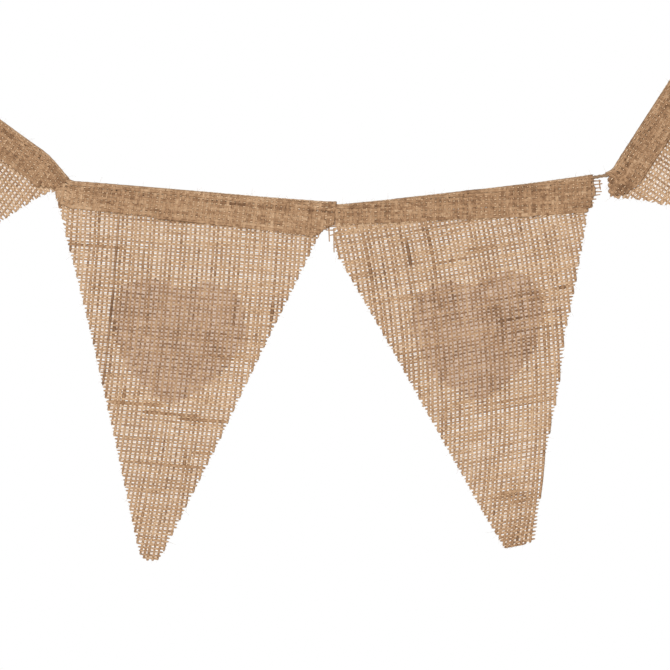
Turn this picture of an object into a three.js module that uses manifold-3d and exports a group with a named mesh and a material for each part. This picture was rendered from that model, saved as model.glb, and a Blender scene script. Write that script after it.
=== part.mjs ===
// Fabric bunting: four open-weave jute pennants strung on one length of jute twine.
// Millimetres, +Z up. The origin is on the twine, where the two middle pennants meet.
// The pennants hang in the XZ plane, with their turned-down hems on the -Y side.

import * as THREE from "three";
import { mergeVertices } from "three/addons/utils/BufferGeometryUtils.js";
import Module from "manifold-3d";

// Driving dimensions of the cloth and the twine
const CLOTH_THICKNESS = 1.2;
const TWINE_DIAMETER = 2;
const TWINE_CLEARANCE = 0.5; // between the twine and the hem wrapped round it
const LAYER_GAP = 0.4; // between the two layers of a hem, below the twine
const CLOSING_DROP = 6; // below the twine, where the two layers have come together
const RELAX_DROPS = [20, 55]; // over which the cloth returns to the middle plane below its hem
const PULL_DROPS = [18, 70]; // over which the cloth stops following the twine's own bends
const RIPPLE_DROPS = [4, 90]; // over which the soft ripples grow to their full depth
const SLACK_POWER = 4; // how late along a hem its slack grows towards the right end
const KNOT_DIAMETER = 5.2;
const KNOT_LENGTH = 6.4;

// How finely the solids are faceted
const TWINE_SIDES = 8;
const TWINE_STEPS = 80;
const KNOT_SEGMENTS = [10, 8]; // round it and from end to end
const COLUMNS = 12; // along a hem
const FOLD_STEPS = 6; // over the twine, from the near layer to the far one
const LONGEST_STEP = 13; // from line to line, down a pennant
const NORMAL_STEP = 0.05; // either side of a point, for the slope of the cloth there

// The twine's route from knot to knot, as [x, z] at y = 0: taut along each hem, bent between hems
const TWINE_ROUTE = [
  [-288, 122.5],
  [-267.9, 107.8],
  [-210, 65.6],
  [-167, 34.2],
  [-158.1, 27.6],
  [-151.7, 20.7],
  [-147, 15.1],
  [-144.9, 13.4],
  [-142.3, 12.6],
  [-136, 12.1],
  [-106.4, 9.7],
  [-60, 5.6],
  [-19.1, 1.6],
  [0, 0],
  [16, 1.1],
  [57.3, 5.7],
  [100.9, 10.7],
  [128, 14.3],
  [139.1, 16],
  [144.5, 16.9],
  [149.2, 17.7],
  [151.9, 18.7],
  [154, 20.8],
  [156.5, 24.8],
  [193.6, 82.4],
  [228.9, 137],
  [242.4, 158],
];

// One row for each pennant, from left to right. The hem runs from origin at rise degrees, x along it.
// flap is the turned-down near layer and body the far one. Each of their rows is a line across the
// cloth, as [left x, left drop, right x, right drop], and a drop is measured square to the hem from
// the twine. slack lifts the fold over the twine at the hem's [left, right] end. sway swings the tip
// along Y. Each ripple is [depth, width, phase in turns].
const PENNANTS = [
  {
    name: "pennant_left_end",
    origin: [-267.9, 107.8],
    rise: -36.1,
    slack: [0, 0.3],
    sway: -5,
    ripples: [[1.6, 96, 0.1], [0.8, 47, 0.55]],
    flap: [
      [0, 0, 151, 0],
      [1.8, 5, 150.2, 6.8],
      [6, 16.5, 138.4, 16.2],
    ],
    body: [
      [0, 0, 151, 0],
      [1.8, 5, 150.2, 6.8],
      [7.2, 20, 145.1, 19.9],
      [15.5, 43, 137, 43],
      [42.5, 118, 111.6, 118],
      [70, 194, 86, 194],
      [71.8, 198.4, 84, 198.4],
      [74.6, 200.6, 81, 200.6],
    ],
  },
  {
    name: "pennant_left",
    origin: [-154, 13.6],
    rise: -5.07,
    slack: [0, 1.5],
    sway: 3.5,
    ripples: [[1.8, 104, 0.62], [0.9, 52, 0.2]],
    flap: [
      [9, 0, 154.2, 0],
      [2, 5.4, 154.9, 8],
      [5.2, 12.3, 144, 16.8],
    ],
    body: [
      [9, 0, 154.2, 0],
      [1.7, 5.4, 153, 5.4],
      [5.4, 15.7, 147, 15.7],
      [19.2, 53.9, 132.6, 53.9],
      [28, 79.4, 122.6, 79.4],
      [44.1, 130.6, 103.4, 130.6],
      [59.6, 181.8, 83.2, 181.8],
      [63.8, 195, 77.9, 195],
      [65.6, 199, 76, 198.8],
      [68.4, 201.3, 74.4, 201],
    ],
  },
  {
    name: "pennant_right",
    origin: [0, 0],
    rise: 6.49,
    slack: [0, 0],
    sway: 4.5,
    ripples: [[1.7, 88, 0.4], [0.9, 44, 0.8]],
    flap: [
      [0.8, 0, 141.8, 0],
      [-0.2, 4, 141.4, 9],
      [-0.9, 8.9, 136.4, 18.4],
    ],
    body: [
      [0.8, 0, 141.8, 0],
      [-0.8, 7.8, 141.2, 9],
      [-2.2, 16, 140.2, 14.8],
      [-2.9, 20.8, 136.4, 18.2],
      [-0.5, 28.2, 133.8, 28.2],
      [17.8, 70.4, 121, 70.4],
      [22.6, 81.6, 116.8, 81.6],
      [33.3, 107.4, 111.2, 107.4],
      [49.4, 145.5, 99.4, 145.5],
      [64.5, 181.1, 90.6, 181.1],
      [71.6, 196, 87.9, 193.8],
    ],
  },
  {
    name: "pennant_right_end",
    origin: [145.5, 7.7],
    rise: 57.2,
    slack: [0, 0],
    sway: -6,
    ripples: [[1.7, 92, 0.9], [0.8, 50, 0.35]],
    flap: [
      [10.4, 0, 153.9, 0],
      [1, 6.4, 152.2, 5],
      [6.6, 13.6, 147.6, 17],
    ],
    body: [
      [10.4, 0, 153.9, 0],
      [0.8, 6.6, 152.2, 5],
      [2.6, 11.2, 150, 11.2],
      [6.2, 17, 148, 17],
      [14.4, 35, 141.7, 35],
      [43.6, 112, 116.5, 112],
      [74.6, 194, 90.2, 194],
      [76.6, 198.4, 88.2, 198.4],
      [79.4, 200.6, 85, 200.6],
    ],
  },
];

// Sizes that follow from the driving dimensions, all to the middle of the cloth's thickness
const CASING_RADIUS = TWINE_DIAMETER / 2 + TWINE_CLEARANCE + CLOTH_THICKNESS / 2;
const LAYER_OFFSET = (CLOTH_THICKNESS + LAYER_GAP) / 2;
const FOLD_WAY = Math.PI * CASING_RADIUS;

const JUTE_CLOTH = new THREE.MeshStandardMaterial({ color: 0xb08d6c, roughness: 0.95, metalness: 0 });
const JUTE_TWINE = new THREE.MeshStandardMaterial({ color: 0x8f7c66, roughness: 0.9, metalness: 0 });

const { clamp, lerp, smoothstep, degToRad } = THREE.MathUtils;
const range = (count) => [...Array(count).keys()];

// The twine's centre line, and the same straight steps that its tube has
const twineCurve = new THREE.CatmullRomCurve3(TWINE_ROUTE.map(([x, z]) => new THREE.Vector3(x, 0, z)));
twineCurve.arcLengthDivisions = 2000;
const twinePoints = twineCurve.getSpacedPoints(TWINE_STEPS);

// A pennant with its own axes in the XZ plane, from the start of its hem: along the hem, and down
// square to it. route is the twine in those axes.
function placed(pennant) {
  const angle = degToRad(pennant.rise);
  const start = new THREE.Vector3(pennant.origin[0], 0, pennant.origin[1]);
  const along = new THREE.Vector3(Math.cos(angle), 0, Math.sin(angle));
  const down = new THREE.Vector3(Math.sin(angle), 0, -Math.cos(angle));
  const route = twinePoints.map((point) => {
    const fromStart = point.clone().sub(start);
    return { x: fromStart.dot(along), drop: fromStart.dot(down) };
  });
  const [hemStart, , hemEnd] = pennant.body[0];
  return { ...pennant, start, along, down, route, hemStart, hemEnd };
}

// How far the twine lies below the straight hem line, at x along it. Past the hem's ends it keeps
// the value that it has there, because only the hem itself follows the twine.
function twineDrop({ route, hemStart, hemEnd }, x) {
  const inHem = clamp(x, hemStart, hemEnd);
  const after = route.findIndex((point) => point.x > inHem);
  const [a, b] = [route[after - 1], route[after]];
  return lerp(a.drop, b.drop, (inHem - a.x) / (b.x - a.x));
}

// How far each layer of a hem stands from the middle plane, at this drop below the twine
function layerOffset(drop) {
  return lerp(CASING_RADIUS, LAYER_OFFSET, smoothstep(drop, 0, CLOSING_DROP));
}

// The soft ripples and the swing of the tip, which move both layers together
function rippleOffset({ ripples, sway, body }, x, drop) {
  const length = body.at(-1)[1];
  const swing = sway * Math.max(drop / length, 0) ** 2;
  const grown = smoothstep(drop, ...RIPPLE_DROPS);
  return ripples.reduce(
    (sum, [depth, width, phase]) => sum + grown * depth * Math.sin(2 * Math.PI * (x / width + phase)),
    swing,
  );
}

// The section of a hem at x and at this way along the cloth. The way is minus the drop on the near
// layer, 0 to FOLD_WAY over the twine, and FOLD_WAY plus the drop on the far layer.
function hemSection({ slack, hemStart, hemEnd }, x, way) {
  if (way <= 0) {
    return { drop: -way, offset: -layerOffset(-way) };
  }
  if (way < FOLD_WAY) {
    const angle = (Math.PI * way) / FOLD_WAY;
    const share = clamp((x - hemStart) / (hemEnd - hemStart), 0, 1);
    const lift = CASING_RADIUS + lerp(...slack, share ** SLACK_POWER);
    return { drop: -lift * Math.sin(angle), offset: -CASING_RADIUS * Math.cos(angle) };
  }
  const drop = way - FOLD_WAY;
  return { drop, offset: layerOffset(drop) * (1 - smoothstep(drop, ...RELAX_DROPS)) };
}

// A point of the cloth's middle surface, from its place in the flat cloth
function clothPoint(pennant, x, way) {
  const { drop, offset } = hemSection(pennant, x, way);
  const followed = 1 - smoothstep(drop, ...PULL_DROPS);
  const place = pennant.start.clone();
  place.addScaledVector(pennant.along, x);
  place.addScaledVector(pennant.down, drop + followed * twineDrop(pennant, x));
  place.y = offset + rippleOffset(pennant, x, drop);
  return place;
}

// The middle surface's direction there, outwards from the fold
function clothNormal(pennant, x, way) {
  const slope = (stepX, stepWay) => {
    const before = clothPoint(pennant, x - stepX, way - stepWay);
    return clothPoint(pennant, x + stepX, way + stepWay).sub(before);
  };
  return slope(NORMAL_STEP, 0).cross(slope(0, NORMAL_STEP)).normalize();
}

// Lines across the cloth at even steps between the rows of a table, each with its two ends
function linesAcross(rows) {
  const lines = [rows[0]];
  for (let i = 1; i < rows.length; i += 1) {
    const drops = [1, 3].map((end) => Math.abs(rows[i][end] - rows[i - 1][end]));
    const steps = Math.ceil(Math.max(...drops) / LONGEST_STEP);
    for (let step = 1; step <= steps; step += 1) {
      lines.push(rows[i].map((value, end) => lerp(rows[i - 1][end], value, step / steps)));
    }
  }
  return lines;
}

// A pennant's flat pattern: lines from the near layer's lower edge, over the fold, to the tip,
// each as [left x, left way, right x, right way]
function patternLines({ flap, body }) {
  const near = linesAcross(flap).map(([leftX, left, rightX, right]) => [leftX, -left, rightX, -right]);
  const far = linesAcross(body).map(([leftX, left, rightX, right]) => [
    leftX, FOLD_WAY + left, rightX, FOLD_WAY + right,
  ]);
  const fold = range(FOLD_STEPS - 1).map((index) =>
    near[0].map((value, end) => lerp(value, far[0][end], (index + 1) / FOLD_STEPS)));
  return [...near.reverse(), ...fold, ...far];
}

// A pennant as one closed sheet of the cloth's thickness
function pennantGeometry(pennant) {
  const lines = patternLines(pennant);
  const columns = COLUMNS + 1;
  const layerSize = lines.length * columns;
  const positions = [];
  for (const side of [0.5, -0.5]) {
    for (const [leftX, leftWay, rightX, rightWay] of lines) {
      for (let column = 0; column < columns; column += 1) {
        const x = lerp(leftX, rightX, column / COLUMNS);
        const way = lerp(leftWay, rightWay, column / COLUMNS);
        const corner = clothPoint(pennant, x, way);
        corner.addScaledVector(clothNormal(pennant, x, way), side * CLOTH_THICKNESS);
        positions.push(...corner.toArray());
      }
    }
  }
  const outer = (line, column) => line * columns + column;
  const faces = [];
  for (let line = 0; line + 1 < lines.length; line += 1) {
    for (let column = 0; column < COLUMNS; column += 1) {
      const [a, b] = [outer(line, column), outer(line, column + 1)];
      const [c, d] = [outer(line + 1, column), outer(line + 1, column + 1)];
      for (const [i, j, k] of [[a, b, c], [b, d, c]]) {
        faces.push(i, j, k);
        faces.push(layerSize + i, layerSize + k, layerSize + j);
      }
    }
  }
  const last = lines.length - 1;
  const rim = [
    ...range(COLUMNS).map((column) => outer(0, column)),
    ...range(last).map((line) => outer(line, COLUMNS)),
    ...range(COLUMNS).map((column) => outer(last, COLUMNS - column)),
    ...range(last).map((line) => outer(last - line, 0)),
  ];
  rim.forEach((here, index) => {
    const next = rim[(index + 1) % rim.length];
    faces.push(next, here, layerSize + here);
    faces.push(next, layerSize + here, layerSize + next);
  });
  const geometry = new THREE.BufferGeometry();
  geometry.setAttribute("position", new THREE.Float32BufferAttribute(positions, 3));
  geometry.setIndex(faces);
  return geometry;
}

// A plain tube along the twine's route
function tubeGeometry() {
  const section = new THREE.Shape(
    range(TWINE_SIDES).map((side) => {
      const angle = (2 * Math.PI * side) / TWINE_SIDES;
      const radius = TWINE_DIAMETER / 2;
      return new THREE.Vector2(radius * Math.cos(angle), radius * Math.sin(angle));
    }),
  );
  return new THREE.ExtrudeGeometry(section, { steps: TWINE_STEPS, extrudePath: twineCurve });
}

// A stopper knot at one end of the twine, longer along the twine than across it
function knotGeometry(end) {
  const radius = KNOT_DIAMETER / 2;
  const knot = new THREE.SphereGeometry(radius, ...KNOT_SEGMENTS);
  knot.scale(1, KNOT_LENGTH / KNOT_DIAMETER, 1);
  const heading = twineCurve.getTangentAt(end);
  const turn = new THREE.Quaternion().setFromUnitVectors(new THREE.Vector3(0, 1, 0), heading);
  knot.applyQuaternion(turn);
  const inset = (end === 0 ? 1 : -1) * radius;
  const place = twineCurve.getPointAt(end).addScaledVector(heading, inset);
  return knot.translate(...place.toArray());
}

// Joins overlapping closed shapes into one closed shape
async function joined(geometries) {
  const wasm = await Module();
  wasm.setup();
  const solids = geometries.map((geometry) => {
    const bare = geometry.clone();
    bare.deleteAttribute("normal");
    bare.deleteAttribute("uv");
    const merged = mergeVertices(bare);
    const vertProperties = new Float32Array(merged.attributes.position.array);
    const triVerts = new Uint32Array(merged.index.array);
    return new wasm.Manifold(new wasm.Mesh({ numProp: 3, vertProperties, triVerts }));
  });
  const { vertProperties, triVerts } = solids.reduce((whole, solid) => whole.add(solid)).getMesh();
  const geometry = new THREE.BufferGeometry();
  geometry.setAttribute("position", new THREE.BufferAttribute(vertProperties, 3));
  geometry.setIndex(new THREE.BufferAttribute(triVerts, 1));
  return geometry;
}

function namedMesh(name, geometry, material) {
  geometry.computeVertexNormals();
  const mesh = new THREE.Mesh(geometry, material);
  mesh.name = name;
  return mesh;
}

const bunting = new THREE.Group();
for (const pennant of PENNANTS.map(placed)) {
  bunting.add(namedMesh(pennant.name, pennantGeometry(pennant), JUTE_CLOTH));
}
const twineShapes = [tubeGeometry(), knotGeometry(0), knotGeometry(1)];
bunting.add(namedMesh("twine", await joined(twineShapes), JUTE_TWINE));

export default bunting;
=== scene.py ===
"""Fabric bunting: open-weave jute pennants with printed hearts, strung on jute twine.

Every thread of the cloth is a spun tube that passes over and under its neighbours. The threads are
laid out in flat cloth, cut to each pennant's outline and then hung, with the hem folded over the twine.
Metres, +Z up. The turned-down hems are on the -Y side, and the hearts are printed on the +Y side.
"""

import math
from dataclasses import dataclass

import bpy
import numpy as np
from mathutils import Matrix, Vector


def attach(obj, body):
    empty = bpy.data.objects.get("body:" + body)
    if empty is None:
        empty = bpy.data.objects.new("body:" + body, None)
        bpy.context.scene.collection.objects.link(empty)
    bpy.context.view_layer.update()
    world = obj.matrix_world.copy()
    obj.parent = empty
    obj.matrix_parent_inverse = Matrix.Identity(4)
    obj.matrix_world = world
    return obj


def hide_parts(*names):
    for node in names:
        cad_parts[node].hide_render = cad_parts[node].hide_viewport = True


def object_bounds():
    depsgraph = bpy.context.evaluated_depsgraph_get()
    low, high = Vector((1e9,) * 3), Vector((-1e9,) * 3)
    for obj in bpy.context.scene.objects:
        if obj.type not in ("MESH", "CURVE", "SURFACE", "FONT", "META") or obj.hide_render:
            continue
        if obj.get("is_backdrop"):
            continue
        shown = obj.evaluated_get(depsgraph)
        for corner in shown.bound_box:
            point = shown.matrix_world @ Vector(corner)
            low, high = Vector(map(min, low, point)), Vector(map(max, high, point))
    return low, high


bl_info = {
    "name": "Fabric Bunting",
    "version": (1, 0, 0),
    "blender": (4, 5, 0),
    "location": "3D View > Sidebar > Bunting",
    "description": "Open-weave jute pennants with printed hearts, strung on jute twine",
    "category": "Object",
}

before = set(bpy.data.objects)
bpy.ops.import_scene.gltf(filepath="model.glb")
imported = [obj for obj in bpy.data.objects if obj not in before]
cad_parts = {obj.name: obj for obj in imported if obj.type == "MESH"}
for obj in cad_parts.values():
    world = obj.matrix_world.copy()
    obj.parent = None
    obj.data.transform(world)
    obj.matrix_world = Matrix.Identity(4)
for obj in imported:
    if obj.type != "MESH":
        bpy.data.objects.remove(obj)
CAD_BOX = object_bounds()
MM = 0.001
ACROSS = np.array([0.0, 1.0, 0.0])  # square to the cloth, towards its far side

# The twine's route from knot to knot, as (x, z) at y = 0: taut along each hem, bent between hems
TWINE_ROUTE = MM * np.array([
    (-288, 122.5),
    (-267.9, 107.8),
    (-210, 65.6),
    (-167, 34.2),
    (-158.1, 27.6),
    (-151.7, 20.7),
    (-147, 15.1),
    (-144.9, 13.4),
    (-142.3, 12.6),
    (-136, 12.1),
    (-106.4, 9.7),
    (-60, 5.6),
    (-19.1, 1.6),
    (0, 0),
    (16, 1.1),
    (57.3, 5.7),
    (100.9, 10.7),
    (128, 14.3),
    (139.1, 16),
    (144.5, 16.9),
    (149.2, 17.7),
    (151.9, 18.7),
    (154, 20.8),
    (156.5, 24.8),
    (193.6, 82.4),
    (228.9, 137),
    (242.4, 158),
])

# One row for each pennant, from left to right, in millimetres and degrees:
# origin and rise are where the hem starts and how it climbs. x runs along it, and a drop square to it.
# slack is how far the fold over the twine is lifted, at the hem's (left, right) end.
# sway is how far the tip swings along Y.
# ripples are soft waves across the cloth, each (depth, width, phase in turns).
# flap and body are the turned-down near layer and the far one, as lines across the cloth from cut edge
# to cut edge, each (left x, left drop, right x, right drop). A drop starts at the twine.
# warp_lean is how far the warp leans to the right of square to the hem, at the hem and at the tip.
# weft_skew is how far the weft falls to the right of the hem.
# hem_tone is the tone of the hem's threads, darker because no light comes through two layers.
# The crease's painted shade is how much darker still they are painted in the crease under the twine, a
# painted shadow line, at the hem's (left, right) end.
# heart is the heart's middle, as (x, drop).
# slubs are thick or dark stretches of one thread, and a float is a warp thread in front of the weft,
# each (kind, x or drop of the thread, start, end, swelling, change of tone).
# stains are matted or worn patches, each (x, drop, half width, half height, swelling, change of tone).
# loose are threads that hang out of a layer, each (layer, x, drop, length, lean to the right, curl).
PENNANTS = [
    {
        "name": "pennant_left_end",
        "origin": (-267.9, 107.8),
        "rise": -36.1,
        "slack": (0, 0.3),
        "sway": -5,
        "ripples": [(1.6, 96, 0.1), (0.8, 47, 0.55)],
        "flap": [(0, 0, 153.4, 0), (1.8, 5, 152, 6), (6, 16.5, 141, 15.5)],
        "body": [
            (0, 0, 153.4, 0),
            (1.8, 5, 151.4, 6),
            (7.2, 20, 145.1, 19.9),
            (15.5, 43, 137, 43),
            (42.5, 118, 111.6, 118),
            (70, 194, 86, 194),
            (71.8, 198.4, 84, 198.4),
            (74.6, 200.6, 81, 200.6),
        ],
        "warp_lean": (1, -4),
        "weft_skew": 0.5,
        "hem_tone": 0.22,
        "crease_shade": (-0.1, -0.1),
        "heart": (76, 82),
        "slubs": [
            ("warp", 96, 30, 70, 0.3, -0.2),
            ("weft", 96, 60, 95, 0.5, -0.15),
        ],
        "stains": [],
        "loose": [],
    },
    {
        "name": "pennant_left",
        "origin": (-154, 13.6),
        "rise": -5.07,
        "slack": (0, 1.5),
        "sway": 3.5,
        "ripples": [(1.8, 104, 0.62), (0.9, 52, 0.2)],
        "flap": [(7.6, 0, 154.6, 0), (2, 6.2, 155, 8.8), (5.2, 13, 144, 16.8)],
        "body": [
            (7.6, 0, 154.6, 0),
            (1.7, 6.2, 153, 5.4),
            (5.4, 16.3, 147, 15.7),
            (19.2, 53.9, 132.6, 53.9),
            (28, 79.4, 122.6, 79.4),
            (44.1, 130.6, 103.4, 130.6),
            (59.6, 181.8, 83.2, 181.8),
            (63.8, 195, 77.9, 195),
            (65.6, 199, 76, 198.8),
            (68.4, 201.3, 74.4, 201),
        ],
        "warp_lean": (2.5, -6.5),
        "weft_skew": -0.6,
        "hem_tone": 0.29,
        "crease_shade": (-0.08, -0.18),
        "heart": (75.4, 82.6),
        "slubs": [
            ("float", 38.2, 17, 108, -0.1, -0.28),
            ("warp", 37.8, 33, 41, 0.2, -0.1),
            ("warp", 36.6, 58, 72, 0.2, -0.08),
            ("float", 53.6, 33, 42, -0.1, -0.2),
            ("weft", 31.7, 12, 40, 0.4, -0.2),
            ("weft", 54.4, 26, 37, 0.3, -0.15),
            ("weft", 86, 94, 112, 0.4, -0.14),
            ("weft", 117.3, 44, 69, 0.7, -0.28),
            ("weft", 119.3, 62, 89, 0.7, -0.22),
            ("weft", 121.5, 82, 105, 0.7, -0.2),
            ("weft", 149, 53, 98, 0.4, -0.16),
        ],
        "stains": [
            (72, 150, 30, 40, -0.05, 0),
            (49.6, 66.8, 7, 4, 0.1, -0.07),
            (102.7, 63.4, 4, 4, 0.1, -0.07),
        ],
        "loose": [
            ("near", 146.5, 13, 5, 15, -70),
            ("near", 4.6, 2.6, 4, -62, 40),
            ("near", 3.4, 4.2, 4.5, -48, -30),
            ("far", 3, 6.4, 4, -20, 40),
        ],
    },
    {
        "name": "pennant_right",
        "origin": (0, 0),
        "rise": 6.49,
        "slack": (0, 0),
        "sway": 4.5,
        "ripples": [(1.7, 88, 0.4), (0.9, 44, 0.8)],
        "flap": [(0.8, 0, 141.8, 0), (-0.2, 4, 141.4, 9), (-0.9, 8.9, 136.4, 18.4)],
        "body": [
            (0.8, 0, 141.8, 0),
            (-0.8, 7.8, 141.2, 9),
            (-2.2, 16, 140.2, 14.8),
            (-2.9, 20.8, 136.4, 18.2),
            (-0.5, 28.2, 133.8, 28.2),
            (17.8, 70.4, 121, 70.4),
            (22.6, 81.6, 116.8, 81.6),
            (33.3, 107.4, 111.2, 107.4),
            (49.4, 145.5, 99.4, 145.5),
            (64.5, 181.1, 90.6, 181.1),
            (71.6, 196, 87.9, 193.8),
        ],
        "warp_lean": (7, -15),
        "weft_skew": -4.1,
        "hem_tone": 0.26,
        "crease_shade": (-0.06, -0.1),
        "heart": (70.6, 81.4),
        "slubs": [
            ("warp", 14, 22, 48, 0.2, -0.06),
            ("float", 37.4, 18, 54, -0.2, -0.3),
            ("warp", 37.2, 24, 34, 0.5, -0.24),
            ("warp", 50, 18, 40, 0.2, -0.08),
            ("weft", 30.5, 71, 84, 0.3, -0.14),
            ("weft", 36.6, 52, 66, 0.3, -0.16),
            ("weft", 58.2, 80, 119, 0.4, -0.12),
            ("weft", 61.6, 101, 109, 0.4, -0.12),
            ("weft", 71.3, 82, 118, 0.4, -0.12),
            ("weft", 116.7, 55, 102, 0.2, -0.12),
            ("weft", 165, 73, 81, 0.5, -0.12),
            ("weft", 170.5, 79, 88, 0.5, -0.12),
        ],
        "stains": [
            (66, 36, 60, 24, 0.02, -0.03),
            (76, 138, 30, 34, -0.06, 0.04),
            (54, 55, 8, 6, 0, 0.1),
            (53, 64, 8, 6, 0.15, -0.05),
            (95, 86, 7, 8, 0.15, -0.06),
            (92, 70, 12, 4, 0.1, -0.04),
            (80, 167, 8, 6, 0.2, -0.08),
            (79, 182, 14, 18, 0.1, -0.1),
            (73, 193, 6, 5, 0.2, -0.1),
        ],
        "loose": [
            ("far", -4.3, 8.6, 9.5, 1, 2),
            ("far", -1.7, 10, 14.3, 0, 1),
            ("far", -0.5, 12.2, 6, -86, -12),
            ("far", -0.5, 14.6, 4, -84, 10),
            ("far", 0.6, 8.4, 6, -84, 6),
            ("far", 0.5, 9.3, 5.4, -84, 0),
            ("far", 0.4, 10.2, 5, -84, -6),
            ("far", 140.6, 1.8, 5.4, 95, -8),
            ("far", 140.6, 3.8, 5.8, 96, 4),
            ("far", 140.4, 5.7, 5, 94, 8),
            ("far", 140.4, 7.7, 5.2, 95, -6),
            ("far", 140.2, 9.6, 4.4, 97, 5),
            ("far", 139.6, 11.6, 2.6, 95, 0),
            ("far", 145.2, 1, 6, 3, 8),
        ],
    },
    {
        "name": "pennant_right_end",
        "origin": (145.5, 7.7),
        "rise": 57.2,
        "slack": (0.5, 0.9),
        "sway": -6,
        "ripples": [(1.7, 92, 0.9), (0.8, 50, 0.35)],
        "flap": [(10.4, 0, 153.9, 0), (1, 6.4, 152.2, 5), (6.6, 13.6, 147.6, 17)],
        "body": [
            (10.4, 0, 153.9, 0),
            (0.8, 6.6, 152.2, 5),
            (2.6, 11.2, 150, 11.2),
            (6.2, 17, 148, 17),
            (14.4, 35, 141.7, 35),
            (43.6, 112, 116.5, 112),
            (74.6, 194, 90.2, 194),
            (76.6, 198.4, 88.2, 198.4),
            (79.4, 200.6, 85, 200.6),
        ],
        "warp_lean": (-1, 4),
        "weft_skew": -1.2,
        "hem_tone": 0.22,
        "crease_shade": (-0.1, -0.1),
        "heart": (78, 82),
        "slubs": [
            ("warp", 60, 60, 120, 0.3, -0.2),
            ("weft", 50, 60, 110, 0.4, -0.15),
        ],
        "stains": [],
        "loose": [],
    },
]

# How a pennant hangs
LAYER_OFFSET = 0.4 * MM  # of each layer of a hem from the middle plane, below the twine
CLOSING_DROP = 3 * MM  # below the twine, where the two layers have come together
CREASE_DROPS = (3.6 * MM, 2.7 * MM)  # of the painted shadow line along the crease below the twine, at a hem's left and right end
CREASE_REACH = 1.1 * MM  # either side of it
HEM_SWELL = 0.6  # how much wider the threads of a pressed hem lie
HEM_FLATTENING = 0.65  # how much of their crimp is pressed out of them
RELAX_DROPS = (20 * MM, 55 * MM)  # over which the cloth returns to the middle plane below its hem
PULL_DROPS = (18 * MM, 70 * MM)  # over which the cloth stops following the twine's own bends
RIPPLE_DROPS = (4 * MM, 90 * MM)  # over which the soft ripples grow to their full depth
SLACK_POWER = 4  # how late along a hem its slack grows towards the right end
FLAP_LIFT = 0.3 * MM  # of the near layer's raw edge off the far layer
LIFT_DROPS = (8 * MM, 17 * MM)  # over which it lifts and the far layer is no longer pressed
SLOPE_STEP = 0.05 * MM  # either side of a place, for the slope of the cloth there

# How unevenly the yarn is spun and woven, as shares of the pitch, the width or the tone
PLACE_SHARE = 0.045  # from thread to thread
WANDER_SHARE = 0.045  # along each thread
SPUN_SHARE = 0.06  # of the width, from thread to thread
THICK_SHARE = 0.07  # of the width, along each thread
TONE_SHARE = 0.055  # from thread to thread
HEM_EVENNESS = 0.6  # how much less the tone changes from thread to thread in a hem
WARP_TONE = 0.44  # the warp is a little darker than the weft
WEFT_TONE = 0.56
PRINT_SHADE_TONE = 0.37  # printed threads are painted darker: painted shade, for the light that the print stops from coming through the cloth
DIP_SHADE = -0.18  # painted shade: threads are painted darker between the crossings, where they dip into the cloth under their neighbours
SHADE_SHARE = 0.05  # along each thread
SPECK_SHARE = 0.05  # from place to place of each thread
HEM_SPECK_SHARE = 0.07
CLOUD_SHARE = 0.025  # from one patch of the cloth to the next
CLOUD_CROSSINGS = 9
SMOOTH_SAMPLES = 14  # half crossings over which a thread's thickness and tone change
WANDER_CROSSINGS = 12  # over which its place changes
SLUB_CHANCE = 0.2  # for a thread to have a thick place that isn't in a row's own list
SLUB_LENGTHS = (3 * MM, 10 * MM)
SLUB_SWELLS = (0.2, 0.6)
SLUB_TONES = (-0.12, 0.08)
SLUB_ENDS = 3 * MM  # over which a slub tapers off
FLOAT_CRIMP = -1.9  # of a warp thread in front of the weft, where 1 and -1 are the cloth's two sides
SWELL_LIMITS = (0.55, 2.0)  # of all the swelling of a thread together

# How the cloth is cut and frays
WEAVE_MARGIN = 30 * MM  # of weave past each side of the outline, before it is cut
SHORTEST_CUT = 4 * MM  # a shorter length of thread falls out of the cut edge
CUT_END_SHARE = 0.6  # how thin a thread is at its cut end
FRAY_LENGTH = 0.1 * MM  # how far a cut end stands out of the edge, on average
LONG_FRAY_CHANCE = 0.03
LONG_FRAY_TIMES = 4
HALVINGS = 12  # that find a cut edge along a thread
LOOSE_POINTS = 14  # along a loose thread
LOOSE_SHARES = (0.8, 0.6)  # of the weft's width, at a loose thread's root and its tip
LOOSE_FLATNESS = 0.8  # its depth as a share of its width
LOOSE_TONE = 0.4

# How the strands are drawn
YARN_SIDES = 5
FIBRE_SIDES = 3
PLY_SIDES = 6
PATTERN_LENGTH = 2.0  # metres of fibre pattern, in which each strand starts at a place of its own

# The heart (|u|ⁿ + |v|ⁿ - 1)³ = d·u²v³ in its own units
HEART_POWER = 2.2  # n, which makes the lobes full
HEART_DIP = 0.95  # d, which makes the notch deep
HEART_SPAN = (2.27, 2.21)  # its width and height
HEART_MIDDLE = 0.108  # its middle height
HEART_EDGE = 0.45  # how unevenly the print's edge runs, in pitches
HEART_DRAWS = 1  # numbers the random draws for its filled gaps, apart from the weave's own
PRINTED_SIDE = (-0.3, 0.4)  # how far round to its outer side a thread's print begins and is full
FILM_BULGE = (-0.15 * MM, 0.2 * MM)  # of the paint in a gap, out of the cloth

# How stray fibres stand off the yarn
FIBRE_POINTS = 3
FIBRE_SHARES = (0.4, 1)  # of the longest fibre's length, along a thread
FIBRE_SPREAD = 0.8  # how far they turn from the thread's own direction
END_FIBRE_SHARES = (0.1, 0.3)  # of the longest fibre's length, at a cut end
END_FIBRE_SPREAD = 0.4
FIBRE_CURL = 0.5
FIBRE_TAPER = 0.6  # how much thinner a fibre is at its tip
FIBRE_TONES = (0.2, 0.66)

# How a flat bundle of fibres lies across a gap, in (warp, weft) pitches from the thread on its left
BUNDLE_STARTS = ((-0.2, -0.16), (0, 0.16))
BUNDLE_ENDS = ((1, -0.16), (1.2, 0.16))
BUNDLE_FLATNESS = 0.25  # its depth as a share of its width
# Bundles take the lightest and lit-through colours: a painted glow of light coming through them from
# behind
BUNDLE_TONES = (0.85, 1)

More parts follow.
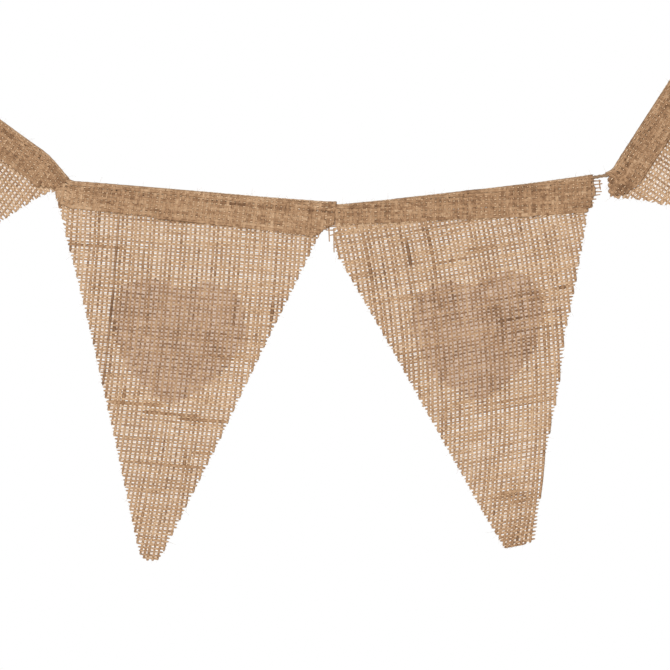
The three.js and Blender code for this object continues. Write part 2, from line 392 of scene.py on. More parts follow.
# How the twine is twisted and knotted. The knots' sizes are in twine diameters
TWINE_SEED = 3
TWINE_STEP = 0.6 * MM  # along the twine
ROUTE_STEPS = 40  # of the smooth route between two of its points
PLY_SWELL = 0.08  # how much a ply's thickness changes along it
PLY_FULLNESS = 1.08  # the plies press a little way into one another
PLY_TONE = 0.5
PLY_SHADE = 0.1  # how much the tone changes along a ply
KNOT_TURNS = 2.3
KNOT_PITCH = 0.9
KNOT_RADII = (0.25, 0.93)  # where its ends tuck in, and between
KNOT_TUCK = 0.12  # the share of its turns over which each end tucks in
KNOT_MIDDLE = 1.6  # from the twine's end
KNOT_POINTS = 60
KNOT_LEAD = 4  # steps of the twine that give a knot its direction

# Each soft light's name, the setting of its power, and its place
LIGHTS = [
    ("key_light", "key", (-0.4, -1.4, 0.4)),
    ("fill_light", "fill", (0.5, -1.4, -0.1)),
    ("back_light", "fill", (0.3, 1.3, 0.8)),
]
LIGHT_SIZE = 0.9

# The round floor
FLOOR_THICKNESS = 20 * MM
FLOOR_RIM = 5 * MM
FLOOR_SIDES = 128

# Where the picture looks: its middle, and its width in the plane of the cloth
VIEW_MIDDLE = Vector((0, 0, -69.6 * MM))
VIEW_WIDTH = 365.5 * MM


def srgb(hex_colour):
    """An sRGB hex value as linear red, green and blue."""
    channels = [int(hex_colour[at:at + 2], 16) / 255 for at in (1, 3, 5)]
    return [c / 12.92 if c <= 0.04045 else ((c + 0.055) / 1.055) ** 2.4 for c in channels]


def lerp(start, end, share):
    return start + (end - start) * share


def smoothstep(value, low, high):
    share = np.clip((value - low) / (high - low), 0, 1)
    return share * share * (3 - 2 * share)


def within(at, start, end):
    """How far places along a thread lie in a slub, which tapers off past its start and its end."""
    return smoothstep(at, start - SLUB_ENDS, start) * (1 - smoothstep(at, end, end + SLUB_ENDS))


def unit(vectors):
    return vectors / np.linalg.norm(vectors, axis=-1, keepdims=True)


def smooth_noise(rng, count, width):
    """Noise of unit spread along a line of samples, smooth over about that many of them."""
    kernel = np.hanning(width + 2)[1:-1]
    noise = np.convolve(rng.standard_normal(count + width - 1), kernel, "valid")
    return noise / np.sqrt((kernel ** 2).sum())


def clouds(rng, shape, width):
    """Noise of unit spread over a grid, smooth over about that many of its places either way."""
    kernel = np.hanning(width + 2)[1:-1]
    noise = rng.standard_normal(np.add(shape, width - 1))
    for axis in (0, 1):
        noise = np.apply_along_axis(np.convolve, axis, noise, kernel, "valid")
    return noise / (kernel ** 2).sum()


def distances(points):
    """How far along a line each of its points lies."""
    gaps = np.linalg.norm(np.diff(points, axis=0), axis=1)
    return np.concatenate([[0], np.cumsum(gaps)])


def even_steps(points, step):
    """The same line with its points an even step apart."""
    along = distances(points)
    at = np.linspace(0, along[-1], round(along[-1] / step) + 1)
    return np.stack([np.interp(at, along, axis) for axis in points.T], axis=1)


def smooth_line(points, steps):
    """A centripetal Catmull-Rom curve through the points, with so many steps between two of them."""
    ends = [2 * points[0] - points[1]], [2 * points[-1] - points[-2]]
    p = np.concatenate([ends[0], points, ends[1]])
    knots = np.concatenate([[0], np.cumsum(np.sqrt(np.linalg.norm(np.diff(p, axis=0), axis=1)))])
    line = []
    for i in range(len(p) - 3):
        t0, t1, t2, t3 = knots[i:i + 4]
        t = np.linspace(t1, t2, steps, endpoint=False)[:, None]
        a1 = lerp(p[i], p[i + 1], (t - t0) / (t1 - t0))
        a2 = lerp(p[i + 1], p[i + 2], (t - t1) / (t2 - t1))
        a3 = lerp(p[i + 2], p[i + 3], (t - t2) / (t3 - t2))
        b1 = lerp(a1, a2, (t - t0) / (t2 - t0))
        b2 = lerp(a2, a3, (t - t1) / (t3 - t1))
        line.append(lerp(b1, b2, (t - t1) / (t2 - t1)))
    return np.concatenate([*line, points[-1:]])


def twine_line(step):
    """The middle of the twine from end to end, an even step apart."""
    flat = smooth_line(TWINE_ROUTE, ROUTE_STEPS)
    return even_steps(np.stack([flat[:, 0], 0 * flat[:, 0], flat[:, 1]], axis=1), step)


class Strands:
    """Tubes of a few sides each, gathered into the arrays of one mesh.

    Each has a UV of metres along it and round it, a tone from dark to light, and a share of paint.
    """

    def __init__(self, sides):
        self.angles = (np.arange(sides) + 0.5) * 2 * math.pi / sides
        self.points = []
        self.quads = []
        self.caps = []
        self.quad_uvs = []
        self.cap_uvs = []
        self.tones = []
        self.paints = []
        self.count = 0

    def add(self, line, outward, half_width, half_depth, tone, paint=None, uv_start=0.0):
        """A tube along a line, with its depth in the outward direction.

        That direction, the half sizes and the tone are one for each point, or one for all.
        """
        sides = len(self.angles)
        rings = len(line)
        half_width, half_depth, tone = (
            np.broadcast_to(values, rings) for values in (half_width, half_depth, tone)
        )
        tangent = unit(np.gradient(line, axis=0))
        across = unit(np.cross(outward, tangent))
        depth = np.cross(tangent, across)
        cosines, sines = np.cos(self.angles)[:, None], np.sin(self.angles)[:, None]
        widths = (half_width[:, None] * across)[:, None, :]
        depths = (half_depth[:, None] * depth)[:, None, :]
        self.points.append((line[:, None, :] + widths * cosines + depths * sines).reshape(-1, 3))
        ring = self.count + sides * np.arange(rings)[:, None]
        here = ring + np.arange(sides)
        beside = ring + np.roll(np.arange(sides), -1)
        self.quads.append(np.stack([here[:-1], beside[:-1], beside[1:], here[1:]], -1).reshape(-1, 4))
        self.caps.append(np.stack([here[0, ::-1], here[-1]]))
        u = uv_start + distances(line)
        v = np.arange(sides + 1) * 2 * math.pi * half_width.mean() / sides
        grid = np.stack(np.meshgrid(u, v, indexing="ij"), -1)
        corners = [grid[:-1, :-1], grid[:-1, 1:], grid[1:, 1:], grid[1:, :-1]]
        self.quad_uvs.append(np.stack(corners, -2).reshape(-1, 2))
        self.cap_uvs.append(np.concatenate([grid[0, :-1][::-1], grid[-1, :-1]]))
        self.tones.append(np.repeat(tone, sides))
        if paint is None:
            paint = np.zeros((rings, sides))
        self.paints.append(paint.reshape(-1))
        self.count += rings * sides

    def made(self, name, material):
        """The strands as one object at the origin, smooth, with their UV map and attributes."""
        faces = np.concatenate(self.quads).tolist() + np.concatenate(self.caps).tolist()
        mesh = bpy.data.meshes.new(name)
        mesh.from_pydata(np.concatenate(self.points).tolist(), [], faces)
        uvs = np.concatenate([*self.quad_uvs, *self.cap_uvs])
        mesh.uv_layers.new(name="Yarn").uv.foreach_set("vector", uvs.astype(np.float32).ravel())
        for key, values in (("tone", self.tones), ("paint", self.paints)):
            data = mesh.attributes.new(key, "FLOAT", "POINT").data
            data.foreach_set("value", np.concatenate(values).astype(np.float32))
        mesh.shade_smooth()
        return linked(name, mesh, material)


def linked(name, mesh, material):
    """A new object of this mesh in the scene, riding on the one body."""
    piece = bpy.data.objects.new(name, mesh)
    mesh.materials.append(material)
    bpy.context.scene.collection.objects.link(piece)
    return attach(piece, "root")


class HangingCloth:
    """A pennant's cut outline in flat cloth, and where each place of that cloth hangs.

    A place is x along the hem and the way down the cloth: minus the drop on the near layer, zero to
    fold_way over the twine, and fold_way plus the drop on the far layer.
    """

    def __init__(self, row, fold_radius):
        self.row = row
        self.fold_radius = fold_radius
        self.fold_way = math.pi * fold_radius
        angle = math.radians(row["rise"])
        self.start = MM * np.array([row["origin"][0], 0, row["origin"][1]])
        self.along = np.array([math.cos(angle), 0, math.sin(angle)])
        self.down = np.array([math.sin(angle), 0, -math.cos(angle)])
        from_start = twine_line(MM) - self.start
        self.route_x = np.maximum.accumulate(from_start @ self.along)
        self.route_drop = from_start @ self.down
        flap, body = MM * np.array(row["flap"]), MM * np.array(row["body"])
        self.hem = body[0, 0], body[0, 2]
        self.length = body[-1, 1]
        sides = []
        for side in ([0, 1], [2, 3]):
            near = flap[::-1, side] * [1, -1]
            far = body[:, side] + [0, self.fold_way]
            sides.append(np.concatenate([near, far]))
        self.outline = np.concatenate([sides[0], sides[1][::-1]])

    def flat_area(self):
        x, way = self.outline.T
        return abs(np.dot(x, np.roll(way, -1)) - np.dot(way, np.roll(x, -1))) / 2

    def contains(self, places):
        """Whether each place lies inside the cut outline, by the even-odd rule."""
        start_x, start_way = self.outline.T
        end_x, end_way = np.roll(self.outline, -1, axis=0).T
        x, way = places[..., 0, None], places[..., 1, None]
        crossed = (start_way > way) != (end_way > way)
        rise = np.where(start_way == end_way, 1, end_way - start_way)
        at = start_x + (way - start_way) / rise * (end_x - start_x)
        return (crossed & (x < at)).sum(-1) % 2 == 1

    def edge_between(self, inside, outside):
        """Where the cut edge lies between two places, found by halving the step between them."""
        for _ in range(HALVINGS):
            middle = (inside + outside) / 2
            if self.contains(middle):
                inside = middle
            else:
                outside = middle
        return inside

    def section(self, x, way):
        """The drop below the twine and the offset from the middle plane of a hem's section."""
        near = way <= 0
        far = way >= self.fold_way
        angle = math.pi * np.clip(way / self.fold_way, 0, 1)
        share = np.clip((x - self.hem[0]) / (self.hem[1] - self.hem[0]), 0, 1)
        lift = self.fold_radius + MM * lerp(*self.row["slack"], share ** SLACK_POWER)
        drop = np.where(near, -way, np.where(far, way - self.fold_way, -lift * np.sin(angle)))
        layer = lerp(self.fold_radius, LAYER_OFFSET, smoothstep(drop, 0, CLOSING_DROP))
        raised = layer + FLAP_LIFT * smoothstep(drop, *LIFT_DROPS)
        relaxed = layer * (1 - smoothstep(drop, *RELAX_DROPS))
        folded = -self.fold_radius * np.cos(angle)
        return drop, np.where(near, -raised, np.where(far, relaxed, folded))

    def in_hem(self, way):
        """How far a place lies in the pressed hem, and in that hem's near layer, from 0 to 1."""
        pressed = 1 - smoothstep(way - self.fold_way, *LIFT_DROPS)
        return pressed, 1 - smoothstep(way, 0, self.fold_way)

    def ripple(self, x, drop):
        """The soft ripples and the swing of the tip, which move both layers together."""
        offset = MM * self.row["sway"] * np.maximum(drop / self.length, 0) ** 2
        for depth, width, phase in self.row["ripples"]:
            wave = np.sin(2 * math.pi * (x / (MM * width) + phase))
            offset = offset + MM * depth * wave * smoothstep(drop, *RIPPLE_DROPS)
        return offset

    def point(self, places):
        """Where places of the flat cloth's middle surface hang."""
        x, way = places[..., 0], places[..., 1]
        drop, offset = self.section(x, way)
        twine_drop = np.interp(np.clip(x, *self.hem), self.route_x, self.route_drop)
        below = drop + twine_drop * (1 - smoothstep(drop, *PULL_DROPS))
        hung = self.start + x[..., None] * self.along + below[..., None] * self.down
        hung[..., 1] = offset + self.ripple(x, drop)
        return hung

    def normal(self, places):
        """The middle surface's direction there, outwards from the fold."""
        steps = SLOPE_STEP * np.eye(2)
        slopes = [self.point(places + step) - self.point(places - step) for step in steps]
        return unit(np.cross(*slopes))


@dataclass
class Thread:
    """A cut length of yarn in flat cloth, with its crimp of -1 to 1, swelling, tone and print.

    Its places are where it crosses other threads and halfway between. beside_gap is whether a gap that
    no paint fills lies to the right of each place of a warp thread.
    """

    is_warp: bool
    places: np.ndarray
    crimp: np.ndarray
    swell: np.ndarray
    tone: np.ndarray
    printed: np.ndarray
    beside_gap: np.ndarray
    uv_start: float


def halved(values):
    """The same values with their halfway values between them."""
    out = np.empty((2 * len(values) - 1, *values.shape[1:]))
    out[0::2] = values
    out[1::2] = (values[:-1] + values[1:]) / 2
    return out


class Weave:
    """Where a pennant's warp and weft cross in the flat cloth, and the threads cut from them.

    filled is which of the gaps between them the print has closed.
    """

    def __init__(self, row, cloth, heart, seed):
        self.row = row
        self.seed = seed
        self.rng = np.random.default_rng(seed)
        self.hanging = HangingCloth(row, cloth.fold_radius)
        self.crossings = self.laid_out(cloth)
        shape = self.crossings.shape[:2]
        self.clouds = CLOUD_SHARE * clouds(self.rng, shape, CLOUD_CROSSINGS)
        self.over = 1.0 - 2.0 * (np.indices(shape).sum(0) % 2)
        self.own_slubs = {}
        self.floats = {}
        for slub in row["slubs"]:
            self.note_slub(*slub)
        self.heart_at = self.nearest(*row["heart"])
        self.heart_scale = (
            cloth.warp_pitch * HEART_SPAN[0] / heart.width,
            cloth.weft_pitch * HEART_SPAN[1] / heart.height,
        )
        gaps = np.indices(np.subtract(shape, 1)) + 0.5
        uneven = np.random.default_rng([seed, HEART_DRAWS]).standard_normal(gaps.shape)
        self.filled = self.in_heart(*(gaps + HEART_EDGE * uneven))

    def laid_out(self, cloth):
        """The place of every crossing, with the lean of the warp and the skew of the weft."""
        low = self.hanging.outline.min(0) - WEAVE_MARGIN
        high = self.hanging.outline.max(0) + WEAVE_MARGIN
        warps = np.arange(low[0], high[0], cloth.warp_pitch)
        wefts = np.arange(low[1], high[1], cloth.weft_pitch)
        drop = wefts - self.hanging.fold_way
        lean, tip_lean = (math.tan(math.radians(angle)) for angle in self.row["warp_lean"])
        drift = lean * drop + (tip_lean - lean) * drop ** 2 / (2 * self.hanging.length)
        drift = np.where(drop > 0, drift, lean * drop)
        skew = math.tan(math.radians(self.row["weft_skew"])) * (warps - warps.mean())
        x = warps[:, None] + drift + cloth.warp_pitch * self.unevenness(len(warps), len(wefts))
        way = wefts + skew[:, None] + cloth.weft_pitch * self.unevenness(len(wefts), len(warps)).T
        return np.stack([x, way], -1)

    def note_slub(self, kind, at, start, end, swell, tone):
        """Keeps one of the row's own slubs with the thread that it belongs to."""
        middle = (start + end) / 2
        is_warp = kind != "weft"
        warp, weft = self.nearest(at, middle) if is_warp else self.nearest(middle, at)
        thread = is_warp, warp if is_warp else weft
        self.own_slubs.setdefault(thread, []).append((MM * start, MM * end, swell, tone))
        if kind == "float":
            self.floats[warp] = MM * start, MM * end

    def nearest(self, x, drop):
        """The numbers of the warp and the weft thread that cross nearest to a place of the far layer."""
        place = MM * np.array([x, drop]) + [0, self.hanging.fold_way]
        away = np.linalg.norm(self.crossings - place, axis=-1)
        return np.unravel_index(away.argmin(), away.shape)

    def in_heart(self, warp, weft):
        """Whether places, given as numbers of threads, lie in the heart, printed on flat cloth."""
        u = (warp - self.heart_at[0]) * self.heart_scale[0]
        v = (self.heart_at[1] - weft) * self.heart_scale[1] + HEART_MIDDLE
        body = np.abs(u) ** HEART_POWER + np.abs(v) ** HEART_POWER - 1
        return body ** 3 < HEART_DIP * u * u * v ** 3

    def unevenness(self, threads, crossings):
        """How far each thread of one kind lies from its even place at each crossing, in pitches."""
        places = PLACE_SHARE * self.rng.standard_normal((threads, 1))
        wander = [smooth_noise(self.rng, crossings, WANDER_CROSSINGS) for _ in range(threads)]
        return places + WANDER_SHARE * np.array(wander)

    def spun(self, places, is_warp, index):
        """The swelling and the tone along a whole thread, with its slubs."""
        rng = self.rng
        count = len(places)
        at = places[:, 1] - self.hanging.fold_way if is_warp else places[:, 0]
        swell = 1 + THICK_SHARE * smooth_noise(rng, count, SMOOTH_SAMPLES)
        swell *= math.exp(SPUN_SHARE * rng.standard_normal())
        tone = SHADE_SHARE * smooth_noise(rng, count, SMOOTH_SAMPLES)
        pressed, _ = self.hanging.in_hem(places[:, 1])
        tone += lerp(SPECK_SHARE, HEM_SPECK_SHARE, pressed) * rng.standard_normal(count)
        tone += WARP_TONE if is_warp else WEFT_TONE
        tone += TONE_SHARE * rng.standard_normal() * (1 - HEM_EVENNESS * pressed)
        tone += halved(self.clouds[index] if is_warp else self.clouds[:, index])
        slubs = list(self.own_slubs.get((is_warp, index), []))
        if rng.random() < SLUB_CHANCE:
            start = rng.uniform(at.min(), at.max())
            end = start + rng.uniform(*SLUB_LENGTHS)
            slubs.append((start, end, rng.uniform(*SLUB_SWELLS), rng.uniform(*SLUB_TONES)))
        changes = [(within(at, start, end), *change) for start, end, *change in slubs]
        far_places = (places - [0, self.hanging.fold_way]) / MM
        for x, drop, half_width, half_height, *change in self.row["stains"]:
            away = (far_places - [x, drop]) / [half_width, half_height]
            changes.append((np.exp(-(away ** 2).sum(-1)), *change))
        for inside, thicker, lighter in changes:
            swell *= 1 + thicker * inside
            tone += lighter * inside
        return np.clip(swell, *SWELL_LIMITS), tone

    def frayed(self, inside, outside):
        """The end of a cut thread, a little outside the cut edge between two of its places."""
        edge = self.hanging.edge_between(inside, outside)
        length = self.rng.exponential(FRAY_LENGTH)
        if self.rng.random() < LONG_FRAY_CHANCE:
            length *= LONG_FRAY_TIMES
        return edge + length * unit(outside - inside)

    def threads(self):
        """Every length of thread inside the cut outline, from frayed end to frayed end."""
        for index, (line, over) in enumerate(zip(self.crossings, self.over)):
            yield from self.cut(True, index, line, over)
        for index, (line, over) in enumerate(zip(self.crossings.swapaxes(0, 1), -self.over.T)):
            yield from self.cut(False, index, line, over)

    def cut(self, is_warp, index, line, over):
        """The lengths of one thread inside the cut outline."""
        places = halved(line)
        crimp = halved(over)
        if is_warp and index in self.floats:
            drop = places[:, 1] - self.hanging.fold_way
            crimp = lerp(crimp, FLOAT_CRIMP, within(drop, *self.floats[index]))
        swell, tone = self.spun(places, is_warp, index)
        crossed = np.arange(len(places)) / 2 + HEART_EDGE * self.rng.standard_normal()
        printed = self.in_heart(index, crossed) if is_warp else self.in_heart(crossed, index)
        beside_gap = np.zeros(len(places), bool)
        if is_warp and index < len(self.filled):
            beside_gap[1::2] = ~self.filled[index]
        uv_start = self.rng.uniform(0, PATTERN_LENGTH)
        turns = np.flatnonzero(np.diff(self.hanging.contains(places).astype(int)))
        for first, last in zip(turns[0::2], turns[1::2]):
            held = places[first:last + 2].copy()
            held[0] = self.frayed(places[first + 1], places[first])
            held[-1] = self.frayed(places[last], places[last + 1])
            if np.linalg.norm(held[-1] - held[0]) > SHORTEST_CUT:
                along = (values[first:last + 2] for values in (crimp, swell, tone, printed, beside_gap))
                yield Thread(is_warp, held, *along, uv_start)


def weaves(scene):
    """The weave of each pennant in turn, the same every time."""
    cloth = scene.bunting_cloth
    for number, row in enumerate(PENNANTS):
        yield Weave(row, cloth, scene.bunting_heart, cloth.seed + number)


def add_node(tree, kind, inputs=None, **settings):
    """A new node with its settings. Each input is a value, or an output socket to link it to."""
    node = tree.nodes.new(kind)
    for name, value in settings.items():
        setattr(node, name, value)
    for name, value in (inputs or {}).items():
        if isinstance(value, bpy.types.NodeSocket):
            tree.links.new(value, node.inputs[name])
        else:
            node.inputs[name].default_value = value
    return node


def new_material(name):
    """An empty node material and its output node."""
    material = bpy.data.materials.new(name)
    material.use_nodes = True
    material.node_tree.nodes.clear()
    return material, add_node(material.node_tree, "ShaderNodeOutputMaterial")


def jute_material(name, colours, paint):
    """Spun jute, matt and hairy: long straw-coloured fibres that lie at a slant round the yarn.

    Real fibres are about 0.05 mm wide. They are drawn wider here, so that they show.
    """
    fibre_width = 0.26 * MM
    fibre_length = 2.6 * MM
    twist = math.radians(18)
    contrast = 0.9
    thinnest_paint = 0.35
    relief = 0.12 * MM
    material, output = new_material(name)
    tree = material.node_tree
    uv = add_node(tree, "ShaderNodeUVMap", uv_map="Yarn")
    slanted = add_node(
        tree, "ShaderNodeMapping", {"Vector": uv.outputs["UV"], "Rotation": (0, 0, twist)}
    )
    drawn = add_node(
        tree,
        "ShaderNodeMapping",
        {"Vector": slanted.outputs["Vector"], "Scale": (1 / fibre_length, 1 / fibre_width, 1)},
    )
    fibres = add_node(
        tree,
        "ShaderNodeTexNoise",
        {"Vector": drawn.outputs["Vector"], "Scale": 1.0, "Detail": 3.0, "Roughness": 0.6},
        noise_dimensions="2D",
    )
    tone = add_node(tree, "ShaderNodeAttribute", attribute_name="tone")
    centred = add_node(
        tree,
        "ShaderNodeMath",
        {0: fibres.outputs["Fac"], 1: contrast, 2: -contrast / 2},
        operation="MULTIPLY_ADD",
    )
    shade = add_node(
        tree, "ShaderNodeMath", {0: tone.outputs["Fac"], 1: centred.outputs["Value"]}, operation="ADD"
    )
    ramp = add_node(tree, "ShaderNodeValToRGB", {"Fac": shade.outputs["Value"]})
    stops = ramp.color_ramp.elements
    for position in np.linspace(0, 1, len(colours))[1:-1]:
        stops.new(position)
    for stop, colour in zip(stops, colours):
        stop.color = (*colour, 1)
    printed = add_node(tree, "ShaderNodeAttribute", attribute_name="paint")
    patchy = add_node(
        tree,
        "ShaderNodeMath",
        {0: printed.outputs["Fac"], 1: fibres.outputs["Fac"], 2: thinnest_paint},
        operation="MULTIPLY_ADD",
    )
    covered = add_node(
        tree,
        "ShaderNodeMath",
        {0: printed.outputs["Fac"], 1: patchy.outputs["Value"]},
        operation="MULTIPLY",
        use_clamp=True,
    )
    mixed = add_node(
        tree,
        "ShaderNodeMix",
        {"Factor": covered.outputs["Value"], 6: ramp.outputs["Color"], 7: (*paint, 1)},
        data_type="RGBA",
    )
    bump = add_node(
        tree,
        "ShaderNodeBump",
        {"Height": fibres.outputs["Fac"], "Strength": 0.6, "Distance": relief},
    )
    surface = add_node(
        tree,
        "ShaderNodeBsdfPrincipled",
        {
            "Base Color": mixed.outputs[2],
            "Normal": bump.outputs["Normal"],
            "Roughness": 0.9,
            "Specular IOR Level": 0.25,
        },
    )
    tree.links.new(surface.outputs["BSDF"], output.inputs["Surface"])
    return material


def paint_material(name, colour):
    """Chalky screen print, dried matt and a little uneven where it bridges the gaps of the weave."""
    blotch_size = 2 * MM
    relief = 0.1 * MM
    dulling = 0.78
    dull_at = 0.25
    fresh_at = 0.7
    material, output = new_material(name)
    tree = material.node_tree
    place = add_node(tree, "ShaderNodeTexCoord")
    blotches = add_node(
        tree,
        "ShaderNodeTexNoise",
        {"Vector": place.outputs["Object"], "Scale": 1 / blotch_size, "Detail": 3.0},
    )
    ramp = add_node(tree, "ShaderNodeValToRGB", {"Fac": blotches.outputs["Fac"]})
    dull, fresh = ramp.color_ramp.elements
    dull.position = dull_at
    dull.color = (*(dulling * np.array(colour)), 1)
    fresh.position = fresh_at
    fresh.color = (*colour, 1)
    bump = add_node(
        tree,
        "ShaderNodeBump",
        {"Height": blotches.outputs["Fac"], "Strength": 0.5, "Distance": relief},
    )
    surface = add_node(
        tree,
        "ShaderNodeBsdfPrincipled",
        {"Base Color": ramp.outputs["Color"], "Normal": bump.outputs["Normal"], "Roughness": 0.85},
    )
    tree.links.new(surface.outputs["BSDF"], output.inputs["Surface"])
    return material


def floor_material(name, colour):
    """A matt painted studio floor, even but for the faintest mottling."""
    mottle_size = 80 * MM
    shading = 0.97
    material, output = new_material(name)
    tree = material.node_tree
    place = add_node(tree, "ShaderNodeTexCoord")
    mottle = add_node(
        tree, "ShaderNodeTexNoise", {"Vector": place.outputs["Object"], "Scale": 1 / mottle_size}
    )
    ramp = add_node(tree, "ShaderNodeValToRGB", {"Fac": mottle.outputs["Fac"]})
    low, high = ramp.color_ramp.elements
    low.color = (*(shading * np.array(colour)), 1)
    high.color = (*colour, 1)
    surface = add_node(
        tree, "ShaderNodeBsdfPrincipled", {"Base Color": ramp.outputs["Color"], "Roughness": 0.7}
    )
    tree.links.new(surface.outputs["BSDF"], output.inputs["Surface"])
    return material


def number_property(name, description, default, **settings):
    return bpy.props.FloatProperty(
        name=name, description=description, default=default, min=0, **settings
    )


def length_property(name, description, default):
    return number_property(name, description, default, precision=5, unit="LENGTH")


def colour_property(name, description, hex_colour):
    default = srgb(hex_colour)
    return bpy.props.FloatVectorProperty(
        name=name, description=description, default=default, min=0, max=1, size=3, subtype="COLOR"
    )


class BuntingCloth(bpy.types.PropertyGroup):
    """The open-weave cloth"""

    warp_pitch: length_property("Warp Pitch", "From one thread square to the hem to the next", 2.5 * MM)
    weft_pitch: length_property("Weft Pitch", "From one thread along the hem to the next", 2.0 * MM)
    warp_width: length_property("Warp Width", "How wide a thread square to the hem lies", 1.4 * MM)
    weft_width: length_property("Weft Width", "How wide a thread along the hem lies", 1.13 * MM)
    yarn_depth: length_property("Yarn Depth", "How thick the flattened yarn is", 0.5 * MM)
    crimp: length_property("Crimp", "How far each thread bends over and under the others", 0.26 * MM)
    fold_radius: length_property("Fold Radius", "From the twine's middle to the cloth over it", 1.6 * MM)
    seed: bpy.props.IntProperty(name="Seed", description="Which uneven weave is spun", default=7)
    darkest: colour_property("Darkest", "The darkest fibres", "#70523a")
    dark: colour_property("Dark", "Dark fibres", "#a5805f")
    plain: colour_property("Plain", "Most of the fibres", "#c2a07e")
    light: colour_property("Light", "Light fibres", "#d5b695")
    lightest: colour_property("Lightest", "The lightest fibres", "#e6cdb0")


class BuntingHeart(bpy.types.PropertyGroup):
    """The heart printed on each pennant"""

    width: length_property("Width", "The heart from side to side", 72.5 * MM)
    height: length_property("Height", "The heart from lobes to point", 69 * MM)
    film: length_property("Film", "How thick the paint is where it bridges a gap", 0.14 * MM)
    # The colour is off-white paint painted darker: the darkening is painted shade, for the shadow that
    # the paint lies in between the threads
    colour: colour_property("Colour", "Off-white paint, dulled where it has soaked in", "#ccb4a2")


class BuntingFuzz(bpy.types.PropertyGroup):
    """The stray fibres on the yarn and across its gaps"""

    length: length_property("Length", "The longest fibres", 5 * MM)
    diameter: length_property("Diameter", "A stray bundle of fibres at its root", 0.1 * MM)
    spacing: length_property("Spacing", "Average length of thread from one fibre to the next", 9 * MM)
    bridge: length_property("Bridge", "Width of a flat bundle of fibres across a gap", 0.68 * MM)
    end_fibres: bpy.props.IntProperty(name="End Fibres", description="At each cut end", default=1, min=0)
    lit_through: colour_property("Lit Through", "Thin fibres with light behind them", "#ffdcb4")


class BuntingTwine(bpy.types.PropertyGroup):
    """The twine through the hems"""

    diameter: length_property("Diameter", "The twisted twine's outer diameter", 2 * MM)
    lay: length_property("Lay", "Length of one turn of the twist", 7.5 * MM)
    plies: bpy.props.IntProperty(name="Plies", description="Yarns twisted together", default=3, min=2)
    darkest: colour_property("Darkest", "The darkest fibres", "#66503c")
    plain: colour_property("Plain", "Most of the fibres", "#9c8166")
    lightest: colour_property("Lightest", "The lightest fibres", "#c0a585")


class BuntingStage(bpy.types.PropertyGroup):
    """The floor, the light and the camera"""

    camera_distance: length_property("Camera Distance", "From the camera to the cloth", 1.4)
    floor_drop: length_property("Floor Drop", "From the lowest tip down to the floor", 0.22)
    floor_radius: length_property("Floor Radius", "The round floor's radius", 1.2)
    floor_colour: colour_property("Floor Colour", "Pale matt paint", "#ecebe8")
    sky: number_property("Sky", "Strength of the even light all round", 0.5)
    key: number_property("Key", "Power of the main soft light", 11, unit="POWER")
    fill: number_property("Fill", "Power of the other lights", 6.4, unit="POWER")


